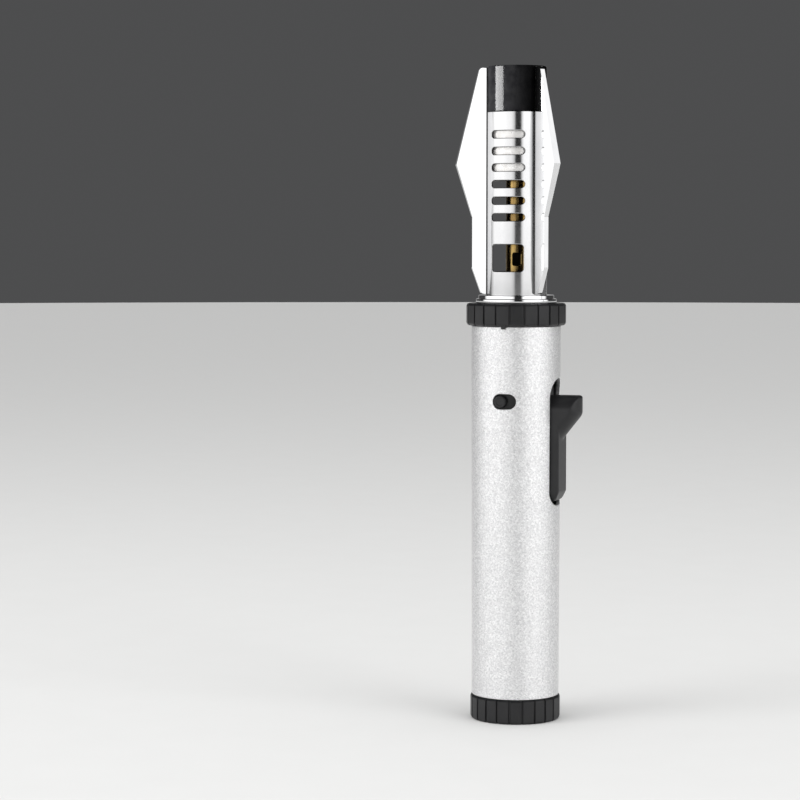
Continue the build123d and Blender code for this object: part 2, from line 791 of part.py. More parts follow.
pieces = {
    "barrel": make_barrel(),
    "base_cap": make_base_cap(),
    "base_screws": make_base_screws(),
    "gas_tank": make_gas_tank(),
    "tank_lid": make_tank_lid(),
    "tank_seal": make_tank_seal(),
    "fill_valve_body": make_fill_valve_body(),
    "fill_valve_seal": make_fill_valve_seal(),
    "fill_valve_stem": make_fill_valve_stem(),
    "fill_valve_spring": make_fill_valve_spring(),
    "gas_valve_body": make_gas_valve_body(),
    "gas_valve_stem": make_gas_valve_stem(),
    "valve_stem_spring": make_valve_stem_spring(),
    "valve_seal": make_valve_seal(),
    "valve_filter": make_valve_filter(),
    "gas_tube": make_gas_tube(),
    "chassis_front": chassis_front,
    "chassis_rear": chassis_rear,
    "chassis_screws": make_chassis_screws(),
    "trigger": make_trigger(),
    "trigger_pin": make_trigger_pin(),
    "trigger_spring": make_trigger_spring(),
    "valve_fork": make_valve_fork(),
    "fork_pin": make_fork_pin(),
    "piezo_body": make_piezo_body(),
    "piezo_plunger": make_piezo_plunger(),
    "piezo_terminal": make_piezo_terminal(),
    "electrode_wire": make_electrode_wire(),
    "electrode_insulator": make_electrode_insulator(),
    "electrode_tip": make_electrode_tip(),
    "lock_knob": make_lock_knob(),
    "lock_shutter": make_lock_shutter(),
    "lock_spring": make_lock_spring(),
    "ring_carrier": make_ring_carrier(),
    "flame_ring": make_flame_ring(),
    "detent_ball": make_detent_ball(),
    "detent_spring": make_detent_spring(),
    "head_flange": make_head_flange(),
    "head_casting": make_head_casting(),
    "muzzle_ring": make_muzzle_ring(),
    "jet_holder": make_jet_holder(),
    "gas_jet": make_gas_jet(),
    "burner_tube": make_burner_tube(),
    "flame_cup": make_flame_cup(),
    "flame_screen": make_flame_screen(),
}

os.makedirs("parts", exist_ok=True)
for name, shape in pieces.items():
    export_step(shape, f"parts/{name}.step")
    print(name, round(shape.volume, 2))
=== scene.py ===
import json
import math
import bmesh
import bpy
from mathutils import Matrix, Vector
from mathutils.geometry import delaunay_2d_cdt

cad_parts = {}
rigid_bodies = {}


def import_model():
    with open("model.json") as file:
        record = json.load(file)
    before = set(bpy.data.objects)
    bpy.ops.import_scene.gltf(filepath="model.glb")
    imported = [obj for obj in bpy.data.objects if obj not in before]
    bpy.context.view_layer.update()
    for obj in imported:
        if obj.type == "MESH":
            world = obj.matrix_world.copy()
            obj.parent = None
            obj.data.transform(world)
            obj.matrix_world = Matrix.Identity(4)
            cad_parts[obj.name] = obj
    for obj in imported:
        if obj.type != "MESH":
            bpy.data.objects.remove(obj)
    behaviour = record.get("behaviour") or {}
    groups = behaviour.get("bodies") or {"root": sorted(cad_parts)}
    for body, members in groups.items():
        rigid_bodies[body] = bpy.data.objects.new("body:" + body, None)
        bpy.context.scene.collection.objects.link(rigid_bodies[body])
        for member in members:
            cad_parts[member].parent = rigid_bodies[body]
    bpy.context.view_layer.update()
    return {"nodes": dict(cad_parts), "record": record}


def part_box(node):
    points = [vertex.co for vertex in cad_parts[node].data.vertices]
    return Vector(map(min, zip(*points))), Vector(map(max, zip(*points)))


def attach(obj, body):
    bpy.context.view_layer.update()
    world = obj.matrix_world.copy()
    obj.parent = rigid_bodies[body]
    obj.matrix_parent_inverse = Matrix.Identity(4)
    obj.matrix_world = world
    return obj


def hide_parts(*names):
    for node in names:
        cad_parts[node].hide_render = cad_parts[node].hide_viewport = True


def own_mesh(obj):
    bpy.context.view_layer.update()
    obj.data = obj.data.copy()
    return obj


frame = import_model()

# Butane torch. Mesh work is done in millimetres and scaled to metres when a piece is made.
# The front, with the lock slot, faces -Y. The trigger is on +X.

mm = 0.001
tiny = 1e-6
scene = bpy.context.scene
scene.view_settings.view_transform = "Standard"


def boxOf(node):
    low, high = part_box(node)
    return low / mm, high / mm


def softCorners(points, radii, steps, closed=True):
    # rounds the corners of an outline, with one radius for each corner
    mostOfSide = 0.48        # a corner stops short of the middle of its sides
    count = len(points)
    out = []
    for i, point in enumerate(points):
        here = Vector(point)
        if radii[i] <= 0 or (not closed and i in (0, count - 1)):
            out.append(here)
            continue
        before = Vector(points[i - 1]) - here
        after = Vector(points[(i + 1) % count]) - here
        turn = before.angle(after)
        back = radii[i] / max(math.tan(turn / 2), 0.05)
        back = min(back, before.length * mostOfSide, after.length * mostOfSide)
        start = here + before.normalized() * back
        end = here + after.normalized() * back
        for k in range(steps + 1):
            t = k / steps
            out.append(start * (1 - t) ** 2 + here * 2 * t * (1 - t) + end * t ** 2)
    return out


def lathe(bm, profile, steps, closed=True, place=None):
    # spins an outline of (radius, height) about Z
    rings = []
    for radius, height in profile:
        if radius < tiny:
            rings.append([bm.verts.new((0, 0, height))])
            continue
        ring = []
        for k in range(steps):
            angle = 2 * math.pi * k / steps
            ring.append(bm.verts.new((radius * math.cos(angle), radius * math.sin(angle), height)))
        rings.append(ring)
    pairs = list(zip(rings, rings[1:]))
    if closed:
        pairs.append((rings[-1], rings[0]))
    for low, high in pairs:
        joinRings(bm, low, high)
    if place is not None:
        made = [v for ring in rings for v in ring]
        bmesh.ops.transform(bm, matrix=place, verts=made)


def joinRings(bm, low, high):
    # faces between two rings of the same count, or between a ring and a single point
    count = max(len(low), len(high))
    for k in range(count):
        n = (k + 1) % count
        if len(low) == 1:
            bm.faces.new((low[0], high[n], high[k]))
        elif len(high) == 1:
            bm.faces.new((low[k], low[n], high[0]))
        else:
            bm.faces.new((low[k], low[n], high[n], high[k]))


def ringAt(bm, points, height):
    # a level ring of vertices
    return [bm.verts.new((x, y, height)) for x, y in points]


def circlePoints(radius, count, centre=(0, 0)):
    points = []
    for k in range(count):
        angle = 2 * math.pi * k / count
        points.append((centre[0] + radius * math.cos(angle), centre[1] + radius * math.sin(angle)))
    return points


def fillBetween(bm, rings):
    # a flat face with holes, from its rings of vertices
    edges = []
    for ring in rings:
        for k in range(len(ring)):
            pair = (ring[k], ring[(k + 1) % len(ring)])
            edge = bm.edges.get(pair)
            edges.append(edge if edge else bm.edges.new(pair))
    bmesh.ops.triangle_fill(bm, use_beauty=True, use_dissolve=False, edges=edges, normal=(0, 0, 1))


def spread(low, high, step):
    # evenly spaced values from low to high, no further apart than step
    count = max(1, math.ceil((high - low) / step - tiny))
    return [low + (high - low) * k / count for k in range(count + 1)]


class Opening:
    # an opening in a tube: middle (turn, z), half size and corner radius in mm
    def __init__(self, turn, z, halfWidth, halfHeight, corner, lowerCorner=None):
        self.turn = turn
        self.z = z
        self.halfWidth = halfWidth
        self.halfHeight = halfHeight
        self.corner = corner
        self.lowerCorner = lowerCorner or corner

    def outline(self, step):
        # points (across, up, outward direction) round the edge of the opening
        cornerSteps = 7
        points = []
        for signX, signZ, start in ((1, 1, 0), (-1, 1, 90), (-1, -1, 180), (1, -1, 270)):
            corner = self.corner if signZ > 0 else self.lowerCorner
            for k in range(cornerSteps + 1):
                angle = math.radians(start + 90 * k / cornerSteps)
                direction = (math.cos(angle), math.sin(angle))
                points.append((signX * (self.halfWidth - corner) + corner * direction[0],
                               signZ * (self.halfHeight - corner) + corner * direction[1], direction))
        dense = []
        for k, point in enumerate(points):
            after = points[(k + 1) % len(points)]
            gap = math.hypot(after[0] - point[0], after[1] - point[1])
            if gap < 1e-4:       # the same point twice
                continue
            if gap < step * 1.2:
                dense.append(point)
                continue
            for t in spread(0, 1, step / gap)[:-1]:
                across = point[0] + (after[0] - point[0]) * t
                up = point[1] + (after[1] - point[1]) * t
                dense.append((across, up, point[2]))
        return dense

    def holds(self, across, up, margin):
        corner = self.corner if up > 0 else self.lowerCorner
        dx = max(abs(across) - (self.halfWidth - corner), 0)
        dz = max(abs(up) - (self.halfHeight - corner), 0)
        return math.hypot(dx, dz) < corner + margin


def rolledTube(radiusAt, shape, zLow, zHigh, openings):
    # a tube with rounded openings cut straight through its wall; returns points, faces and normals
    wall, edge, turns, rowStep = shape["wall"], shape["edge"], shape["turns"], shape["rowStep"]
    edgeSteps = 4
    points, normals, faces = [], [], []
    columns = [2 * math.pi * k / turns - math.pi for k in range(turns + 1)]
    rows = spread(zLow + edge, zHigh - edge, rowStep)
    levels = []              # back from the edge, depth below the skin, and the two parts of the normal
    for k in range(edgeSteps + 1):
        lean = math.pi / 2 * k / edgeSteps
        out, side = math.cos(lean), math.sin(lean)
        levels.append((edge * (1 - side), edge * (1 - out), out, side))
    levels += [(back, wall - deep, -out, side) for back, deep, out, side in reversed(levels)]

    def put(turn, z, deep, normal):
        reach = radiusAt(z) - deep
        points.append((reach * math.sin(turn), -reach * math.cos(turn), z))
        normals.append(Vector(normal).normalized())
        return len(points) - 1

    def outwards(turn, out, z=0.0):
        return (math.sin(turn) * out, -math.cos(turn) * out, z)

    outlines = [opening.outline(radiusAt(zLow) * 2 * math.pi / turns) for opening in openings]
    rims, rings = [], []
    for back, deep, out, side in levels:
        low = [put(turn, zLow + back, deep, outwards(turn, out, -side)) for turn in columns]
        high = [put(turn, zHigh - back, deep, outwards(turn, out, side)) for turn in columns]
        rims.append((low, high))
        level = []
        for opening, outline in zip(openings, outlines):
            ring = []
            across = Vector((math.cos(opening.turn), math.sin(opening.turn), 0))
            for x, up, direction in outline:
                x += back * direction[0]
                z = opening.z + up + back * direction[1]
                turn = opening.turn + math.asin(x / (radiusAt(z) - deep))
                wallNormal = -(across * direction[0] + Vector((0, 0, direction[1])))
                ring.append((turn, z, put(turn, z, deep, Vector(outwards(turn, out)) + wallNormal * side)))
            level.append(ring)
        rings.append(level)
    for k in range(len(levels) - 1):
        for low, high in ((rims[k][0], rims[k + 1][0]), (rims[k + 1][1], rims[k][1])):
            for n in range(turns):
                faces.append((low[n], high[n], high[n + 1], low[n + 1]))
        for ringA, ringB in zip(rings[k], rings[k + 1]):
            for n in range(len(ringA)):
                after = (n + 1) % len(ringA)
                faces.append((ringA[n][2], ringA[after][2], ringB[after][2], ringB[n][2]))
    for which, (back, deep, out, side) in ((0, levels[0]), (-1, levels[-1])):
        # each skin is a flat net of small triangles between the openings, then rolled
        flat, owner = [], []
        girth = radiusAt(zLow)
        for row, height in zip(rims[which], (zLow + back, zHigh - back)):
            for turn, index in zip(columns, row):
                flat.append(Vector((turn * girth, height)))
                owner.append(index)
        bounds = []
        for ring in rings[which]:
            start = len(flat)
            for turn, z, index in ring:
                flat.append(Vector((turn * girth, z)))
                owner.append(index)
            bounds += [(start + n, start + (n + 1) % len(ring)) for n in range(len(ring))]
        margin = edge + rowStep * 0.25
        for turn in columns:
            for z in rows[1:-1]:
                reach = radiusAt(z) - deep
                if not any(inside(opening, turn, z, reach, margin) for opening in openings):
                    flat.append(Vector((turn * girth, z)))
                    owner.append(put(turn, z, deep, outwards(turn, out)))
        net = delaunay_2d_cdt(flat, bounds, [], 0, tiny)
        for corners in net[2]:
            middle = sum((net[0][c] for c in corners), Vector((0, 0))) / len(corners)
            turn, z = middle.x / girth, middle.y
            reach = radiusAt(z) - deep
            if any(inside(opening, turn, z, reach, back - 0.002) for opening in openings):
                continue
            names = [owner[net[3][c][0]] for c in corners]
            faces.append(names if which == 0 else names[::-1])
    return points, faces, normals


def inside(opening, turn, z, radius, margin):
    away = (turn - opening.turn + math.pi) % (2 * math.pi) - math.pi
    if abs(away) > math.pi / 2 - 0.01:       # the far side of the tube
        return False
    return opening.holds(radius * math.sin(away), z - opening.z, margin)


def makeTube(name, body, slotName, stands, tube, finish=None):
    # a rolled tube keeps its own exact normals, so that reflections run straight
    points, faces, normals = tube
    mesh = bpy.data.meshes.new(name)
    mesh.from_pydata([Vector(p) * mm for p in points], [], faces)
    for face in mesh.polygons:
        face.use_smooth = True
    mesh.validate()
    mesh.normals_split_custom_set_from_vertices(normals)
    piece = bpy.data.objects.new(name, mesh)
    scene.collection.objects.link(piece)
    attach(piece, body)
    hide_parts(*stands)
    mesh.materials.append(finish or finishes[slotName])


def addBox(bm, low, high, bevel):
    made = bmesh.ops.create_cube(bm, size=1.0)["verts"]
    size = Vector(high) - Vector(low)
    middle = (Vector(high) + Vector(low)) / 2
    bmesh.ops.scale(bm, vec=size, verts=made)
    bmesh.ops.translate(bm, vec=middle, verts=made)
    edges = list({e for v in made for e in v.link_edges})
    bmesh.ops.bevel(bm, geom=edges, offset=bevel, segments=3, profile=0.5, affect="EDGES")


def makePiece(name, bm, body, slotName, stands, finish=None, sharp=38):
    # turns finished mesh work into a named piece on its body
    bmesh.ops.recalc_face_normals(bm, faces=bm.faces[:])
    for face in bm.faces:
        face.smooth = True
    for edge in bm.edges:
        if len(edge.link_faces) == 2 and edge.calc_face_angle(0) > math.radians(sharp):
            edge.smooth = False
    bmesh.ops.scale(bm, vec=(mm, mm, mm), verts=bm.verts[:])
    mesh = bpy.data.meshes.new(name)
    bm.to_mesh(mesh)
    bm.free()
    piece = bpy.data.objects.new(name, mesh)
    scene.collection.objects.link(piece)
    even = piece.modifiers.new("evenNormals", "WEIGHTED_NORMAL")
    even.keep_sharp = True
    even.weight = 60
    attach(piece, body)
    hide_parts(*stands)
    mesh.materials.append(finish or finishes[slotName])
    return piece


finishes = {}


def startFinish(name):
    material = bpy.data.materials.new(name)
    material.use_nodes = True
    nodes = material.node_tree.nodes
    links = material.node_tree.links
    shader = nodes["Principled BSDF"]
    place = nodes.new("ShaderNodeTexCoord")
    finishes[name] = material
    return nodes, links, shader, place


def noiseField(nodes, links, place, perMetre, detail, stretch=None, rough=0.55):
    field = nodes.new("ShaderNodeTexNoise")
    field.inputs["Scale"].default_value = perMetre
    field.inputs["Detail"].default_value = detail
    field.inputs["Roughness"].default_value = rough
    source = place.outputs["Object"]
    if stretch:
        mapping = nodes.new("ShaderNodeMapping")
        mapping.inputs["Scale"].default_value = stretch
        links.new(source, mapping.inputs["Vector"])
        source = mapping.outputs["Vector"]
    links.new(source, field.inputs["Vector"])
    return field.outputs["Fac"]


def remap(nodes, links, value, low, high, fromLow=0.3, fromHigh=0.7):
    node = nodes.new("ShaderNodeMapRange")
    node.inputs["From Min"].default_value = fromLow
    node.inputs["From Max"].default_value = fromHigh
    node.inputs["To Min"].default_value = low
    node.inputs["To Max"].default_value = high
    links.new(value, node.inputs["Value"])
    return node.outputs["Result"]


def blendColours(nodes, links, amount, first, second):
    node = nodes.new("ShaderNodeMix")
    node.data_type = "RGBA"
    for socket, colour in ((node.inputs[6], first), (node.inputs[7], second)):
        if isinstance(colour, tuple):
            socket.default_value = (*colour, 1)
        else:
            links.new(colour, socket)
    links.new(amount, node.inputs[0])
    return node.outputs[2]


def bumpFrom(nodes, links, height, depth, strength, under=None):
    # depth is in metres
    node = nodes.new("ShaderNodeBump")
    node.inputs["Strength"].default_value = strength
    node.inputs["Distance"].default_value = depth
    links.new(height, node.inputs["Height"])
    if under is not None:
        links.new(under, node.inputs["Normal"])
    return node.outputs["Normal"]


def blendValues(nodes, links, amount, first, second):
    node = nodes.new("ShaderNodeMix")
    node.data_type = "FLOAT"
    for socket, value in ((node.inputs[2], first), (node.inputs[3], second)):
        if isinstance(value, float):
            socket.default_value = value
        else:
            links.new(value, socket)
    links.new(amount, node.inputs[0])
    return node.outputs[0]


def outsideOf(nodes, links, place, radius):
    # 0 inside this distance from the torch's axis (metres), 1 outside it
    soft = 0.0001
    flatten = nodes.new("ShaderNodeVectorMath")
    flatten.operation = "MULTIPLY"
    flatten.inputs[1].default_value = (1, 1, 0)
    links.new(place.outputs["Object"], flatten.inputs[0])
    reach = nodes.new("ShaderNodeVectorMath")
    reach.operation = "LENGTH"
    links.new(flatten.outputs["Vector"], reach.inputs[0])
    return remap(nodes, links, reach.outputs["Value"], 0, 1, radius - soft, radius + soft)


def plainFinish(name, look):
    # colour drifts between two tones, with a fine grain in roughness and bump
    nodes, links, shader, place = startFinish(name)
    drift = noiseField(nodes, links, place, look["driftPerMetre"], 3, look.get("stretch"))
    grain = noiseField(nodes, links, place, look["grainPerMetre"], 5, look.get("stretch"))
    colour = blendColours(nodes, links, remap(nodes, links, drift, 0, 1), look["tone"], look["otherTone"])
    low, high = look["roughness"]
    rough = remap(nodes, links, grain, low, high)
    if "bore" in look:
        # the bore stays unpolished, and its colour is darkened as painted shade inside the tube
        outer = outsideOf(nodes, links, place, look["bore"]["radius"])
        paintedBoreShade = blendColours(nodes, links, grain, look["bore"]["tone"], look["bore"]["otherTone"])
        colour = blendColours(nodes, links, outer, paintedBoreShade, colour)
        rough = blendValues(nodes, links, outer, look["bore"]["roughness"], rough)
    links.new(colour, shader.inputs["Base Color"])
    links.new(rough, shader.inputs["Roughness"])
    normal = bumpFrom(nodes, links, grain, look["grainDepth"], look.get("grainStrength", 0.6))
    if "waveDepth" in look:
        wave = noiseField(nodes, links, place, look["wavePerMetre"], 2)
        normal = bumpFrom(nodes, links, wave, look["waveDepth"], 1.0, normal)
    links.new(normal, shader.inputs["Normal"])
    shader.inputs["Metallic"].default_value = look.get("metallic", 0.0)
    shader.inputs["Specular IOR Level"].default_value = look.get("specular", 0.5)
    shader.inputs["Coat Weight"].default_value = look.get("coat", 0.0)
    shader.inputs["Coat Roughness"].default_value = look.get("coatRoughness", 0.1)
    shader.inputs["Transmission Weight"].default_value = look.get("transmission", 0.0)
    shader.inputs["Subsurface Weight"].default_value = look.get("subsurface", 0.0)
    shader.inputs["Subsurface Scale"].default_value = 0.0005


pearlPaint = {
    "tone": (0.82, 0.82, 0.825),
    "flakeTone": (0.95, 0.95, 0.955),
    "shadeTone": (0.60, 0.60, 0.61),
    "pebblePerMetre": 2300,
    "pebbleRough": 0.6,
    "pebbleRange": (0.36, 0.62),
    "pebbleDepth": 0.00012,
    "blotchPerMetre": 320,
    "blotch": 0.25,
    "flakePerMetre": 3400,
    "flakeShare": 0.45,      # this share of the flakes catches the light
    "flakeDepth": 0.00001,
    "bump": 0.5,
    "metallic": 0.85,
    "roughness": (0.34, 0.50),
    "coat": 0.25,
    "coatRoughness": 0.28,
}


def makePearlPaint():
    look = pearlPaint
    nodes, links, shader, place = startFinish("barrel_paint")
    pebble = noiseField(nodes, links, place, look["pebblePerMetre"], 3, rough=look["pebbleRough"])
    blotch = noiseField(nodes, links, place, look["blotchPerMetre"], 3)
    flake = nodes.new("ShaderNodeTexVoronoi")
    flake.inputs["Scale"].default_value = look["flakePerMetre"]
    flake.inputs["Randomness"].default_value = 1.0
    links.new(place.outputs["Object"], flake.inputs["Vector"])
    perFlake = nodes.new("ShaderNodeSeparateColor")
    links.new(flake.outputs["Color"], perFlake.inputs["Color"])
    sparkle = remap(nodes, links, perFlake.outputs["Red"], 0, 1, 1 - look["flakeShare"], 1.0)
    shade = remap(nodes, links, pebble, 0, 1, *look["pebbleRange"])
    ground = blendColours(nodes, links, shade, look["shadeTone"], look["tone"])
    fade = remap(nodes, links, blotch, 0.0, look["blotch"])
    ground = blendColours(nodes, links, fade, ground, look["tone"])
    colour = blendColours(nodes, links, sparkle, ground, look["flakeTone"])
    links.new(colour, shader.inputs["Base Color"])
    low, high = look["roughness"]
    links.new(remap(nodes, links, perFlake.outputs["Green"], low, high, 0, 1), shader.inputs["Roughness"])
    normal = bumpFrom(nodes, links, pebble, look["pebbleDepth"], look["bump"])
    normal = bumpFrom(nodes, links, perFlake.outputs["Blue"], look["flakeDepth"], look["bump"], normal)
    links.new(normal, shader.inputs["Normal"])
    shader.inputs["Metallic"].default_value = look["metallic"]
    shader.inputs["Coat Weight"].default_value = look["coat"]
    shader.inputs["Coat Roughness"].default_value = look["coatRoughness"]


mirrorChrome = {
    "tone": (0.82, 0.82, 0.825),
    "otherTone": (0.75, 0.753, 0.762),
    "driftPerMetre": 90,
    "grainPerMetre": 1400,
    "grainDepth": 0.0000006,
    "roughness": (0.015, 0.06),
    "wavePerMetre": 160,
    "waveDepth": 0.00001,
    "metallic": 1.0,
    # painted shade: inside this radius the tube's inner wall is painted near black, and left rough
    "bore": {
        "radius": 0.00747,
        "tone": (0.05, 0.05, 0.05),
        "otherTone": (0.11, 0.105, 0.10),
        "roughness": 0.3,
    },
}

# the fins carry a painted shade line, a dark band painted where they meet the tube
finChrome = dict(mirrorChrome, bore=dict(mirrorChrome["bore"], radius=0.00772))

blackPlate = {
    "tone": (0.0008, 0.0008, 0.0009),
    "otherTone": (0.002, 0.002, 0.0021),
    "driftPerMetre": 400,
    "grainPerMetre": 2200,
    "grainDepth": 0.00003,
    "grainStrength": 0.6,
    "roughness": (0.06, 0.12),
    "specular": 0.007,
}

satinBlack = {
    "tone": (0.006, 0.006, 0.007),
    "otherTone": (0.011, 0.011, 0.012),
    "driftPerMetre": 260,
    "grainPerMetre": 5200,
    "grainDepth": 0.00003,
    "grainStrength": 0.35,
    "roughness": (0.34, 0.50),
    "wavePerMetre": 240,
    "waveDepth": 0.00002,
    "specular": 0.42,
}

turnedBrass = {
    "tone": (0.72, 0.47, 0.16),
    "otherTone": (0.42, 0.23, 0.07),
    "driftPerMetre": 260,
    "grainPerMetre": 900,
    "stretch": (1, 1, 9),
    "grainDepth": 0.000004,
    "roughness": (0.16, 0.34),
    "metallic": 1.0,
}

burnerBrass = {
    "tone": (0.55, 0.38, 0.13),
    "otherTone": (0.13, 0.075, 0.035),
    "driftPerMetre": 420,
    "grainPerMetre": 1600,
    "stretch": (1, 1, 0.15),
    "grainDepth": 0.000004,
    "roughness": (0.14, 0.30),
    "metallic": 1.0,
    # painted shade: inside this radius the burner's bore is painted near black, and left rough
    "bore": {
        "radius": 0.00235,
        "tone": (0.012, 0.010, 0.007),
        "otherTone": (0.030, 0.022, 0.014),
        "roughness": 0.6,
    },
}

springSteel = {
    "tone": (0.60, 0.60, 0.61),
    "otherTone": (0.46, 0.45, 0.44),
    "driftPerMetre": 500,
    "grainPerMetre": 2400,
    "grainDepth": 0.000004,
    "roughness": (0.22, 0.42),
    "metallic": 1.0,
}

burnerSteel = {
    "tone": (0.93, 0.92, 0.91),
    "otherTone": (0.80, 0.78, 0.76),
    "driftPerMetre": 700,
    "grainPerMetre": 1500,
    "grainDepth": 0.00004,
    "grainStrength": 0.5,
    "roughness": (0.26, 0.46),
    "metallic": 0.55,
}

castAlloy = {
    "tone": (0.52, 0.52, 0.53),
    "otherTone": (0.40, 0.40, 0.41),
    "driftPerMetre": 300,
    "grainPerMetre": 3200,
    "grainDepth": 0.00002,
    "roughness": (0.38, 0.60),
    "metallic": 1.0,
}

smokyNylon = {
    "tone": (0.62, 0.66, 0.65),
    "otherTone": (0.52, 0.56, 0.55),
    "driftPerMetre": 150,
    "grainPerMetre": 1800,
    "grainDepth": 0.00001,
    "roughness": (0.22, 0.36),
    "transmission": 0.5,
}

mattChassis = {
    "tone": (0.045, 0.045, 0.048),
    "otherTone": (0.065, 0.065, 0.068),
    "driftPerMetre": 220,
    "grainPerMetre": 4200,
    "grainDepth": 0.00003,
    "roughness": (0.50, 0.66),
}

sparkHousing = {
    "tone": (0.02, 0.02, 0.022),
    "otherTone": (0.035, 0.035, 0.037),
    "driftPerMetre": 320,
    "grainPerMetre": 2600,
    "grainDepth": 0.00001,
    "roughness": (0.18, 0.30),
}

offWhiteAcetal = {
    "tone": (0.72, 0.70, 0.63),
    "otherTone": (0.64, 0.61, 0.53),
    "driftPerMetre": 300,
    "grainPerMetre": 2600,
    "grainDepth": 0.00001,
    "roughness": (0.28, 0.42),
    "subsurface": 0.2,
}

sealRubber = {
    "tone": (0.018, 0.018, 0.018),
    "otherTone": (0.030, 0.030, 0.029),
    "driftPerMetre": 420,
    "grainPerMetre": 5200,
    "grainDepth": 0.00003,
    "roughness": (0.58, 0.78),
}

filterFelt = {
    "tone": (0.74, 0.71, 0.62),
    "otherTone": (0.56, 0.53, 0.45),
    "driftPerMetre": 900,
    "grainPerMetre": 7000,
    "grainDepth": 0.00012,
    "roughness": (0.82, 0.96),
}

redCover = {
    "tone": (0.42, 0.025, 0.02),
    "otherTone": (0.30, 0.015, 0.013),
    "driftPerMetre": 300,
    "grainPerMetre": 3000,
    "grainDepth": 0.00001,
    "roughness": (0.32, 0.48),
}

glazedCeramic = {
    "tone": (0.84, 0.82, 0.77),
    "otherTone": (0.74, 0.71, 0.65),
    "driftPerMetre": 260,
    "grainPerMetre": 2200,
    "grainDepth": 0.000006,
    "roughness": (0.12, 0.26),
    "coat": 0.4,
}

plainLooks = {
    "mirror_chrome": mirrorChrome,
    "fin_chrome": finChrome,
    "black_gloss": blackPlate,
    "black_plastic": satinBlack,
    "brass": turnedBrass,
    "burner_brass": burnerBrass,
    "steel": springSteel,
    "burner_steel": burnerSteel,
    "cast_alloy": castAlloy,
    "tank_nylon": smokyNylon,
    "chassis_plastic": mattChassis,
    "spark_plastic": sparkHousing,
    "plunger_plastic": offWhiteAcetal,
    "seal_rubber": sealRubber,
    "filter_felt": filterFelt,
    "wire_cover": redCover,
    "ceramic": glazedCeramic,
}

makePearlPaint()
for name, look in plainLooks.items():
    plainFinish(name, look)
print("finishes made:", len(finishes))


barrelShape = {
    "wall": 1.0,
    "bottomRadius": 10.75,
    "edge": 0.22,
    "turns": 144,
    "rowStep": 2.0,
    "lockSlot": {"z": 79.1, "length": 5.8, "height": 3.65},
    "leverSlot": {"low": 53.3, "high": 84.5, "width": 9.1, "lowerCorner": 3.3},
}


def makeBarrel():
    low, high = boxOf("barrel")
    topRadius = high.x
    bottomRadius = barrelShape["bottomRadius"]
    span = high.z - low.z
    lock = barrelShape["lockSlot"]
    lever = barrelShape["leverSlot"]

    def radiusAt(z):
        return bottomRadius + (topRadius - bottomRadius) * (z - low.z) / span

    halfHeight = lock["height"] / 2
    leverMiddle = (lever["low"] + lever["high"]) / 2
    leverHalf = lever["width"] / 2
    leverTall = (lever["high"] - lever["low"]) / 2
    openings = [
        Opening(0.0, lock["z"], lock["length"] / 2, halfHeight, halfHeight),
        Opening(math.pi / 2, leverMiddle, leverHalf, leverTall, leverHalf, lever["lowerCorner"]),
    ]
    tube = rolledTube(radiusAt, barrelShape, low.z, high.z, openings)
    makeTube("barrel_tube", "casing", "barrel_paint", ["barrel"], tube)


makeBarrel()
print("barrel rolled")


fluteShape = {
    "count": 22,
    "grooveHalf": 0.24,      # half width of a groove
    # from the middle of a groove to its flat: distance in half widths, depth in mm
    "flank": [(0, 0.38), (0.75, 0.38), (1.0, 0.285), (1.05, 0.10), (1.3, 0.03), (1.8, 0)],
    "flatShare": 0.4,        # two more points on each flat, this far out from its middle
    "cornerCut": 0.02,
    # rounding of both ends: distance from the end, pulled in by
    "ends": [(0, 0.5), (0.175, 0.21), (0.5, 0.06), (0.65, 0)],
}


def fluteOutline(radius, back):
    # flats with a narrow groove at each corner, all pulled in by some amount
    s = fluteShape
    half = math.pi / s["count"]
    flat = radius * math.cos(half)
    groove = s["grooveHalf"] / radius
    offsets = [(groove * share - half, deep) for share, deep in s["flank"]]
    offsets += [(-half * s["flatShare"], 0), (half * s["flatShare"], 0)]
    offsets += [(half - groove * share, deep) for share, deep in s["flank"][:0:-1]]
    points = []
    for k in range(s["count"]):
        middle = 2 * half * k + half
        for offset, deep in offsets:
            reach = flat / math.cos(offset) - deep
            reach = min(reach, radius - s["cornerCut"]) - back
            angle = middle + offset
            points.append((reach * math.cos(angle), reach * math.sin(angle)))
    return points


def fluteWall(bm, radius, low, high):
    ends = fluteShape["ends"]
    levels = [(low + rise, back) for rise, back in ends]
    levels += [(high - rise, back) for rise, back in reversed(ends)]
    rings = [ringAt(bm, fluteOutline(radius, back), z) for z, back in levels]
    for a, b in zip(rings, rings[1:]):
        joinRings(bm, a, b)
    return rings[0], rings[-1]


def ringsDown(bm, start, stations):
    # plain round rings with the same point count, joined one after another
    last = start
    for radius, z in stations:
        ring = []
        for vert in start:
            angle = math.atan2(vert.co.y, vert.co.x)
            ring.append(bm.verts.new((radius * math.cos(angle), radius * math.sin(angle), z)))
        joinRings(bm, last, ring)
        last = ring
    return last


flameRingShape = {
    "radius": 12.3, "bore": 9.35, "lowerLand": 11.3, "upperLand": 11.2, "lowerEdge": 0.2, "upperEdge": 0.25,
    "tabHalf": 0.55, "tabDrop": 0.7, "tabRise": 0.6, "tabOut": 11.98, "tabIn": 11.36, "tabBevel": 0.12,
}


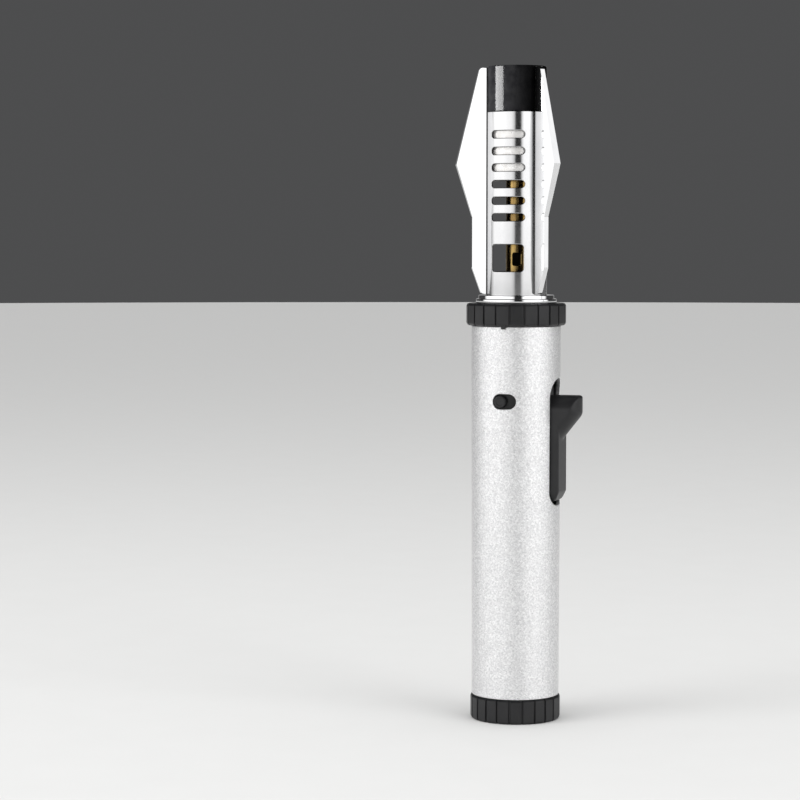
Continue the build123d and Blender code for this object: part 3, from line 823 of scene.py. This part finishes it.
def makeFlameRing():
    s = flameRingShape
    low, high = boxOf("flame_ring")
    bottom, top, bore = low.z + s["tabDrop"], high.z, s["bore"]
    bm = bmesh.new()
    lowerRing, upperRing = fluteWall(bm, s["radius"], bottom, top)
    lower, upper = s["lowerEdge"], s["upperEdge"]
    stations = [(s["lowerLand"], bottom), (bore + lower, bottom), (bore, bottom + lower)]
    inner = ringsDown(bm, lowerRing, stations)
    stations = [(s["upperLand"], top), (bore + upper, top), (bore, top - upper)]
    outer = ringsDown(bm, upperRing, stations)
    joinRings(bm, inner, outer)
    tabLow = (-s["tabHalf"], -s["tabOut"], low.z)
    tabHigh = (s["tabHalf"], -s["tabIn"], bottom + s["tabRise"])
    addBox(bm, tabLow, tabHigh, s["tabBevel"])
    makePiece("flame_ring_knurled", bm, "flame_adjuster", "black_plastic", ["flame_ring"], sharp=50)


makeFlameRing()

baseCapShape = {
    "radius": 11.15, "height": 6.0, "land": 9.9, "rim": 8.6, "rimEdge": 0.25, "recess": 1.2,
    # the boss round the refill port, from its outer foot over the rim and up the throat: radius, height
    "boss": [(4.7, 1.2), (4.7, 0.15), (4.55, 0.0), (3.7, 0.0), (3.4, 0.3), (3.4, 2.4),
             (3.05, 2.4), (3.05, 6.0)],
    "bossSteps": 96,
    "screwX": 6.4, "screwPocket": 1.9, "pocketTop": 2.6, "pocketSteps": 40,
    "shoulder": 9.7, "shoulderTop": 8.4, "shoulderBore": 8.0,
}


def makeBaseCap():
    s = baseCapShape
    bm = bmesh.new()
    under, top = fluteWall(bm, s["radius"], 0.0, s["height"])
    rim, rimEdge = s["rim"], s["rimEdge"]
    stations = [(s["land"], 0.0), (rim + rimEdge, 0.0), (rim, rimEdge), (rim, s["recess"])]
    rimRing = ringsDown(bm, under, stations)
    bossRings = [ringAt(bm, circlePoints(r, s["bossSteps"]), z) for r, z in s["boss"]]
    for a, b in zip(bossRings, bossRings[1:]):
        joinRings(bm, a, b)
    pockets = []
    for x in (-s["screwX"], s["screwX"]):
        pocket = circlePoints(s["screwPocket"], s["pocketSteps"], centre=(x, 0))
        edge = ringAt(bm, pocket, s["recess"])
        deep = ringAt(bm, pocket, s["pocketTop"])
        joinRings(bm, edge, deep)
        bm.faces.new(deep)
        pockets.append(edge)
    fillBetween(bm, [rimRing, bossRings[0]] + pockets)
    stations = [
        (s["shoulder"], s["height"]), (s["shoulder"], s["shoulderTop"]),
        (s["shoulderBore"], s["shoulderTop"]), (s["shoulderBore"], s["height"]),
    ]
    fillBetween(bm, [ringsDown(bm, top, stations), bossRings[-1]])
    makePiece("base_cap_fluted", bm, "casing", "black_plastic", ["base_cap"], sharp=50)


makeBaseCap()
print("fluted rings made")


headShape = {
    "radius": 7.5, "wall": 0.6, "bottom": 97.5, "top": 149.5, "edge": 0.19, "turns": 180, "rowStep": 1.0,
    "turn": -3.9,            # degrees round from the barrel's front
    "slotFirst": 143.9, "slotPitch": 4.02, "slotCount": 6, "slotWidth": 8.5, "slotHeight": 1.8,
    "windowLow": 110.6, "windowHigh": 117.2, "windowWidth": 8.05, "windowCorner": 0.8,
}

finShape = {
    "count": 3, "edge": 0.24, "cornerSteps": 3,
    # half thickness, growing from the blade's reach to the point's
    "thin": 0.66, "thick": 1.0, "bladeReach": 11.1, "pointReach": 15.05,
    # side outline from the foot up over the point to the tip and back down the tube: reach, height
    "outline": [(7.2, 104.9), (8.9, 105.3), (11.1, 111.5), (11.1, 124.0), (15.05, 136.7), (9.45, 159.6),
                (8.9, 160.2), (7.47, 160.2), (7.47, 149.5), (7.2, 149.5)],
    "softness": [0, 0.3, 0.6, 0.8, 0.12, 0.5, 0.3, 0.1, 0, 0],
}


def headOpenings():
    s = headShape
    openings = []
    for third in (-1, 0, 1):
        turn = third * 2 * math.pi / 3 + math.radians(s["turn"])
        for k in range(s["slotCount"]):
            z = s["slotFirst"] - k * s["slotPitch"]
            openings.append(Opening(turn, z, s["slotWidth"] / 2, s["slotHeight"] / 2, s["slotHeight"] / 2))
        middle = (s["windowLow"] + s["windowHigh"]) / 2
        height = (s["windowHigh"] - s["windowLow"]) / 2
        openings.append(Opening(turn, middle, s["windowWidth"] / 2, height, s["windowCorner"]))
    return openings


def addFin(bm):
    s = finShape
    outline = softCorners(s["outline"], s["softness"], s["cornerSteps"])
    sides = []
    for side in (-1, 1):
        ring = []
        for r, z in outline:
            t = min(max((r - s["bladeReach"]) / (s["pointReach"] - s["bladeReach"]), 0), 1)
            half = s["thin"] + (s["thick"] - s["thin"]) * t
            ring.append(bm.verts.new((r, side * half, z)))
        sides.append(ring)
    faces = [bm.faces.new(sides[0]), bm.faces.new(list(reversed(sides[1])))]
    rimEdges = []
    for face in faces:
        rimEdges += face.edges[:]
    joinRings(bm, sides[0], sides[1])
    bmesh.ops.bevel(bm, geom=rimEdges, offset=s["edge"], segments=1, affect="EDGES", clamp_overlap=True)


def makeHead():
    s = headShape
    tube = rolledTube(lambda z: s["radius"], s, s["bottom"], s["top"], headOpenings())
    makeTube("head_tube", "casing", "mirror_chrome", ["head_casting"], tube)
    bm = bmesh.new()
    for k in range(finShape["count"]):
        fin = bmesh.new()
        addFin(fin)
        angle = math.radians(90 + s["turn"] + 360 / finShape["count"] * k)
        bmesh.ops.rotate(fin, cent=(0, 0, 0), matrix=Matrix.Rotation(angle, 3, "Z"), verts=fin.verts[:])
        holder = bpy.data.meshes.new("finWork")
        fin.to_mesh(holder)
        fin.free()
        bm.from_mesh(holder)
        bpy.data.meshes.remove(holder)
    finish = finishes["fin_chrome"]
    makePiece("head_fins", bm, "casing", "mirror_chrome", ["head_casting"], finish, sharp=40)


makeHead()

def makeTurned(name, slotName, node, outline, softness, steps):
    bm = bmesh.new()
    lathe(bm, softCorners(outline, softness, 5), steps)
    makePiece(name, bm, "casing", slotName, [node])


flangeShape = {
    "radius": 9.9, "upper": 9.3, "bore": 7.55, "step": 103.9,
    "softness": [0, 0.22, 0.22, 0.08, 0.22, 0],
}


def makeFlange():
    low, high = boxOf("head_flange")
    s = flangeShape
    outline = [(s["bore"], low.z), (s["radius"], low.z), (s["radius"], s["step"]), (s["upper"], s["step"]),
               (s["upper"], high.z), (s["bore"], high.z)]
    makeTurned("head_flange_turned", "mirror_chrome", "head_flange", outline, s["softness"], 180)


makeFlange()

muzzleShape = {
    "radius": 7.35, "bore": 6.3, "spigot": 6.85, "seat": 149.55,
    "softness": [0.1, 0.1, 0.05, 0.12, 0.28, 0.28],
}


def makeMuzzle():
    low, high = boxOf("muzzle_ring")
    s = muzzleShape
    outline = [(s["bore"], low.z), (s["spigot"], low.z), (s["spigot"], s["seat"]), (s["radius"], s["seat"]),
               (s["radius"], high.z), (s["bore"], high.z)]
    makeTurned("muzzle_ring_turned", "black_gloss", "muzzle_ring", outline, s["softness"], 180)


makeMuzzle()

burnerShape = {
    "radius": 2.6, "wall": 0.5, "holeLow": 112.0, "holeHigh": 115.2, "holeWidth": 2.2, "holeCorner": 0.5,
    "holeTurn": 18.5, "edge": 0.1, "turns": 96, "rowStep": 1.0,
}


def makeBurnerTube():
    low, high = boxOf("burner_tube")
    s = burnerShape
    openings = []
    for third in (-1, 0, 1):
        turn = third * 2 * math.pi / 3 + math.radians(s["holeTurn"])
        half = (s["holeHigh"] - s["holeLow"]) / 2
        openings.append(Opening(turn, s["holeLow"] + half, s["holeWidth"] / 2, half, s["holeCorner"]))
    tube = rolledTube(lambda z: s["radius"], s, low.z, high.z, openings)
    makeTube("burner_tube_drilled", "casing", "brass", ["burner_tube"], tube, finishes["burner_brass"])


makeBurnerTube()

cupShape = {
    "radius": 6.75, "bore": 6.25, "floor": 0.6, "neck": 2.65,
    "softness": [0.05, 0.5, 0.12, 0.12, 0.3, 0.05],
}


def makeFlameCup():
    low, high = boxOf("flame_cup")
    s = cupShape
    outline = [(s["neck"], low.z), (s["radius"], low.z), (s["radius"], high.z), (s["bore"], high.z),
               (s["bore"], low.z + s["floor"]), (s["neck"], low.z + s["floor"])]
    makeTurned("flame_cup_spun", "burner_steel", "flame_cup", outline, s["softness"], 144)


makeFlameCup()
print("head made")


triggerShape = {
    "inner": 6.2, "halfWidth": 4.0, "low": 53.8, "high": 80.4, "lowerCorner": 2.9,
    # side outline of the bar below the thumb pad, from the bottom up
    "bar": [(7.6, 53.8), (9.4, 53.9), (11.0, 54.6), (11.9, 56.6), (11.9, 80.4)],
    "barSoftness": [0, 0.6, 1.2, 1.6, 0],
    # the thumb pad swells out over a slope and is crowned across its width
    "padFrom": 69.5, "padFull": 75.6, "padReach": 16.78, "crown": 5.0, "topRound": 0.8, "blend": 0.5,
    "edgeRound": 0.45,
    "sideSteps": 36, "rowStep": 0.4, "cornerSteps": 16, "leastGap": 0.01,
    # two arms, their carrier and the foot, all inside the barrel: low corner, high corner, bevel
    "boxes": [
        ((-2.9, -3.0, 79.82), (6.6, -1.8, 82.02), 0.2),
        ((-2.9, 1.8, 79.82), (6.6, 3.0, 82.02), 0.2),
        ((6.2, -3.2, 75.0), (8.8, 3.2, 82.4), 0.3),
        ((4.0, -1.5, 57.75), (6.6, 1.5, 59.4), 0.15),
    ],
}


def reachAt(side, z):
    # how far the plain bar stands out at this height
    for a, b in zip(side, side[1:]):
        if a.y <= z <= b.y:
            return a.x + (b.x - a.x) * (z - a.y) / max(b.y - a.y, tiny)
    return side[-1].x


def padReachAt(y, z):
    # how far the crowned pad stands out at this width and height
    s = triggerShape
    rise = s["padFull"] - s["padFrom"]
    out = s["padReach"] - s["bar"][-1][0]
    slope = math.hypot(rise, out)
    drop = s["crown"] - math.sqrt(s["crown"] ** 2 - y ** 2)
    upper = s["padReach"] - drop
    lower = s["bar"][-1][0] + ((z - s["padFrom"]) * out - drop * slope) / rise
    soft = s["blend"]        # the two faces flow into each other
    mix = min(max(0.5 + 0.5 * (upper - lower) / soft, 0), 1)
    reach = upper * (1 - mix) + lower * mix - soft * mix * (1 - mix)
    short = s["high"] - z
    if short < s["topRound"]:
        reach -= s["topRound"] - math.sqrt(s["topRound"] ** 2 - (s["topRound"] - short) ** 2)
    return reach


def triggerSection(bar, z, half):
    # one level of the lever: flat inside and sides, crowned outside
    s = triggerShape
    soft = min(s["edgeRound"], half * 0.6)
    points = [(s["inner"], half), (s["inner"], -half)]
    steps = s["sideSteps"]
    for k in range(steps + 1):
        y = -half * math.cos(math.pi * k / steps)
        reach = max(bar, padReachAt(y, z))
        over = abs(y) - (half - soft)
        if over > 0:
            reach -= soft - math.sqrt(max(soft ** 2 - over ** 2, 0))
        points.append((max(reach, s["inner"] + 0.05), y))
    return points


def makeTrigger():
    s = triggerShape
    side = softCorners(s["bar"], s["barSoftness"], 8, closed=False)
    half = s["halfWidth"]
    corner = s["lowerCorner"]
    heights = {round(point.y, 3) for point in side}
    heights.update(round(z, 3) for z in spread(s["low"] + corner, s["high"] - half, s["rowStep"]))
    for k in range(s["cornerSteps"] + 1):
        rise = 1 - math.sin(math.pi / 2 * k / s["cornerSteps"])
        heights.update((round(s["low"] + corner * rise, 3), round(s["high"] - half * rise, 3)))
    stations = []
    for z in sorted(heights):
        onLever = s["low"] <= z < s["high"] - s["leastGap"] * 1.2
        if onLever and (not stations or z - stations[-1] > s["leastGap"]):
            stations.append(z)
    bm = bmesh.new()
    rings = []
    for z in stations:
        width = half
        if s["high"] - z < half:
            width = math.sqrt(half ** 2 - (half - (s["high"] - z)) ** 2)
        elif z - s["low"] < corner:
            width = half - corner + math.sqrt(corner ** 2 - (corner - (z - s["low"])) ** 2)
        rings.append(ringAt(bm, triggerSection(reachAt(side, z), z, width), z))
    for a, b in zip(rings, rings[1:]):
        joinRings(bm, a, b)
    bm.faces.new(rings[0])
    bm.faces.new(rings[-1])
    for low, high, bevel in s["boxes"]:
        addBox(bm, low, high, bevel)
    makePiece("trigger_lever", bm, "trigger", "black_plastic", ["trigger"], sharp=40)


makeTrigger()
print("trigger made")


lockShape = {
    "z": 79.1, "turn": -5.6, "steps": 64,
    # half section from the foot out to the face, with its dished middle: radius, reach
    "outline": [(0, 9.5), (1.5, 9.5), (1.5, 10.98), (1.2, 11.1), (1.0, 11.1), (0.85, 11.0), (0, 10.94)],
    "softness": [0, 0.05, 0.12, 0.12, 0.06, 0.08, 0],
}


def makeLockKnob():
    s = lockShape
    profile = softCorners(s["outline"], s["softness"], 3, closed=False)
    place = Matrix.Rotation(math.radians(s["turn"]), 4, "Z")
    place = place @ Matrix.Translation((0, 0, s["z"])) @ Matrix.Rotation(math.pi / 2, 4, "X")
    bm = bmesh.new()
    lathe(bm, profile, s["steps"], closed=False, place=place)
    makePiece("lock_knob_round", bm, "lock", "black_plastic", ["lock_knob"])


makeLockKnob()
print("lock made")


# each coil is wound at rest; in the torch it is squeezed towards its fixed upper end when its stem rises
valveSprings = {
    "valve_stem_spring": {
        "radius": 1.5, "wire": 0.2, "low": 45.55, "high": 49.25, "turns": 4,
        "joint": "valve_lift", "travel": 0.6,
    },
    "fill_valve_spring": {
        "radius": 1.55, "wire": 0.22, "low": 9.05, "high": 13.15, "turns": 4,
        "joint": "refill_press", "travel": 0.9,
    },
}


def makeSpring(node, s):
    bm = bmesh.new()
    bottom = s["low"] + s["wire"]
    rise = s["high"] - s["low"] - 2 * s["wire"]
    stepsPerTurn = 36
    steps = s["turns"] * stepsPerTurn
    sides = 10
    rings = []
    for k in range(steps + 1):
        angle = 2 * math.pi * s["turns"] * k / steps
        outward = Vector((math.cos(angle), math.sin(angle), 0))
        centre = outward * s["radius"] + Vector((0, 0, bottom + rise * k / steps))
        ring = []
        for n in range(sides):
            turn = 2 * math.pi * n / sides
            away = outward * math.cos(turn) + Vector((0, 0, math.sin(turn)))
            ring.append(bm.verts.new(centre + away * s["wire"]))
        rings.append(ring)
    for a, b in zip(rings, rings[1:]):
        joinRings(bm, a, b)
    bm.faces.new(rings[0])
    bm.faces.new(rings[-1])
    piece = makePiece(node + "_coil", bm, "casing", "steel", [node], sharp=60)
    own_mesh(piece)


for node, spring in valveSprings.items():
    makeSpring(node, spring)
print("valve springs wound")


def dressCadNodes():
    for entry in frame["record"]["subparts"]:
        node = frame["nodes"][entry["node"]]
        finish = finishes[entry["material_slot"]]
        if not node.data.materials:
            node.data.materials.append(finish)
        for k in range(len(node.data.materials)):
            node.data.materials[k] = finish


dressCadNodes()
print("inner pieces dressed")


cameraPlace = {
    "azimuth": 15.5, "distance": 0.621, "height": 0.119,
    "panLeft": 2.64, "pitchDown": 3.7, "lens": 113.4,
}


studioLook = {
    "floor": (0.62, 0.62, 0.615),
    "backdrop": (0.075, 0.0755, 0.077),
    "ambient": (0.90, 0.90, 0.90),
    "floorRadius": 4000, "floorDrop": 0.02, "floorGrainPerMetre": 60, "floorDarker": 0.97,
    # bearing from the camera's side in degrees, brightness, sine of the highest elevation lit
    "panels": [
        (-180, 0.45, 0.5), (-152, 0.06, 0.3), (-112, 0.06, 0.3), (-104, 1.1, 0.3), (-92, 1.9, 0.3),
        (-53, 2.0, 0.3), (-34, 1.75, 0.3), (-20, 1.65, 0.3), (-12, 1.25, 0.3), (-7, 0.8, 0.3),
        (-5, 0.3, 0.3), (-4, 0.03, 0.3), (15, 0.03, 0.3), (17, 0.5, 0.3), (21, 1.3, 0.3),
        (27, 1.9, 0.4), (70, 2.0, 0.55), (80, 1.6, 0.55), (84, 0.6, 0.55), (87, 1.4, 0.55),
        (97, 1.2, 0.5), (106, 0.06, 0.5), (150, 0.06, 0.3), (180, 0.45, 0.5),
    ],
    # above its highest elevation a panel fades to this brightness, over this range of sines
    "aboveLevel": 0.08, "fade": (-0.1, 0.14),
}


def makeFloor():
    bm = bmesh.new()
    ring = ringAt(bm, circlePoints(studioLook["floorRadius"], 96), -studioLook["floorDrop"])
    bm.faces.new(ring)
    bmesh.ops.scale(bm, vec=(mm, mm, mm), verts=bm.verts[:])
    mesh = bpy.data.meshes.new("studio_floor")
    bm.to_mesh(mesh)
    bm.free()
    floor = bpy.data.objects.new("studio_floor", mesh)
    scene.collection.objects.link(floor)
    nodes, links, shader, place = startFinish("studio_paper")
    grain = noiseField(nodes, links, place, studioLook["floorGrainPerMetre"], 4)
    tone = studioLook["floor"]
    darker = tuple(c * studioLook["floorDarker"] for c in tone)
    links.new(blendColours(nodes, links, grain, tone, darker), shader.inputs["Base Color"])
    shader.inputs["Roughness"].default_value = 0.85
    shader.inputs["Specular IOR Level"].default_value = 0.1
    mesh.materials.append(finishes["studio_paper"])


def mathNode(nodes, links, operation, first, second=None):
    node = nodes.new("ShaderNodeMath")
    node.operation = operation
    for socket, value in zip(node.inputs, (first, second)):
        if isinstance(value, (int, float)):
            socket.default_value = value
        elif value is not None:
            links.new(value, socket)
    return node.outputs[0]


def makeSurround():
    # the camera sees a dark backdrop, matt surfaces an even pale surround,
    # and polished ones tall white panels with dark gaps between them
    world = bpy.data.worlds.new("studio_surround")
    scene.world = world
    world.use_nodes = True
    nodes = world.node_tree.nodes
    links = world.node_tree.links
    back = nodes["Background"]
    back.inputs["Strength"].default_value = 1.0
    place = nodes.new("ShaderNodeTexCoord")
    turn = nodes.new("ShaderNodeVectorRotate")
    turn.rotation_type = "Z_AXIS"
    turn.inputs["Angle"].default_value = math.radians(-cameraPlace["azimuth"])
    links.new(place.outputs["Generated"], turn.inputs["Vector"])
    split = nodes.new("ShaderNodeSeparateXYZ")
    links.new(turn.outputs["Vector"], split.inputs["Vector"])
    towards = mathNode(nodes, links, "MULTIPLY", split.outputs["Y"], -1.0)
    bearing = mathNode(nodes, links, "ARCTAN2", split.outputs["X"], towards)
    ramp = nodes.new("ShaderNodeValToRGB")
    links.new(remap(nodes, links, bearing, 0, 1, -math.pi, math.pi), ramp.inputs["Fac"])
    panels = studioLook["panels"]
    stops = ramp.color_ramp.elements
    for k, (angle, level, limit) in enumerate(panels):
        position = (angle + 180) / 360
        if k == 0:
            stop = stops[0]
        elif k == len(panels) - 1:
            stop = stops[-1]
        else:
            stop = stops.new(position)
        stop.position = position
        stop.color = (level, level, level, limit)
    over = mathNode(nodes, links, "SUBTRACT", split.outputs["Z"], ramp.outputs["Alpha"])
    fade = remap(nodes, links, over, 1, studioLook["aboveLevel"], *studioLook["fade"])
    lit = mathNode(nodes, links, "MULTIPLY", ramp.outputs["Color"], fade)
    seen = nodes.new("ShaderNodeLightPath")
    mix = nodes.new("ShaderNodeMix")
    mix.data_type = "RGBA"
    mix.inputs[6].default_value = (*studioLook["ambient"], 1)
    links.new(seen.outputs["Is Glossy Ray"], mix.inputs[0])
    links.new(lit, mix.inputs[7])
    plain = nodes.new("ShaderNodeMix")
    plain.data_type = "RGBA"
    plain.inputs[7].default_value = (*studioLook["backdrop"], 1)
    links.new(seen.outputs["Is Camera Ray"], plain.inputs[0])
    links.new(mix.outputs[2], plain.inputs[6])
    links.new(plain.outputs[2], back.inputs["Color"])


# bearing from the camera's side and elevation in degrees, sizes in metres, power in watts
studioLamps = {
    "key_softbox": {
        "bearing": -62, "elevation": 36, "distance": 0.95, "width": 0.5, "height": 0.8, "power": 3.8,
        "aim": 0.09,
    },
    "fill_softbox": {
        "bearing": 52, "elevation": 33, "distance": 1.0, "width": 0.6, "height": 0.7, "power": 3.2,
        "aim": 0.09,
    },
    "top_softbox": {
        "bearing": 0, "elevation": 78, "distance": 0.9, "width": 0.8, "height": 0.8, "power": 2,
        "aim": 0.09,
    },
    "rim_strip": {
        "bearing": -71, "elevation": 5, "distance": 0.4, "width": 0.25, "height": 0.12, "power": 60,
        "aim": 0.155, "only": "muzzle_ring_turned",
    },
}


def softbox(name, s):
    light = bpy.data.lights.new(name, "AREA")
    light.shape = "RECTANGLE"
    light.size = s["width"]
    light.size_y = s["height"]
    light.energy = s["power"]
    lamp = bpy.data.objects.new(name, light)
    scene.collection.objects.link(lamp)
    a = math.radians(s["bearing"] + cameraPlace["azimuth"])
    e = math.radians(s["elevation"])
    offset = Vector((math.sin(a) * math.cos(e), -math.cos(a) * math.cos(e), math.sin(e))) * s["distance"]
    lamp.location = Vector((0, 0, s["aim"])) + offset
    lamp.rotation_mode = "QUATERNION"
    lamp.rotation_quaternion = (-offset).to_track_quat("-Z", "Y")
    if "only" in s:
        # this one lights nothing but the named piece
        group = bpy.data.collections.new(name + "_pieces")
        group.objects.link(bpy.data.objects[s["only"]])
        lamp.light_linking.receiver_collection = group
    else:
        lamp.visible_glossy = False


def makeCamera():
    s = cameraPlace
    a = math.radians(s["azimuth"])
    data = bpy.data.cameras.new("studio_camera")
    data.lens = s["lens"]
    data.sensor_width = 36.0
    data.clip_start = 0.02
    data.clip_end = 50.0
    camera = bpy.data.objects.new("studio_camera", data)
    scene.collection.objects.link(camera)
    camera.location = (math.sin(a) * s["distance"], -math.cos(a) * s["distance"], s["height"])
    heading = a + math.radians(s["panLeft"])
    pitch = math.radians(90 - s["pitchDown"])
    camera.rotation_euler = (pitch, 0, heading)
    scene.camera = camera


makeFloor()
makeSurround()
for name, lamp in studioLamps.items():
    softbox(name, lamp)
makeCamera()
print("studio set")
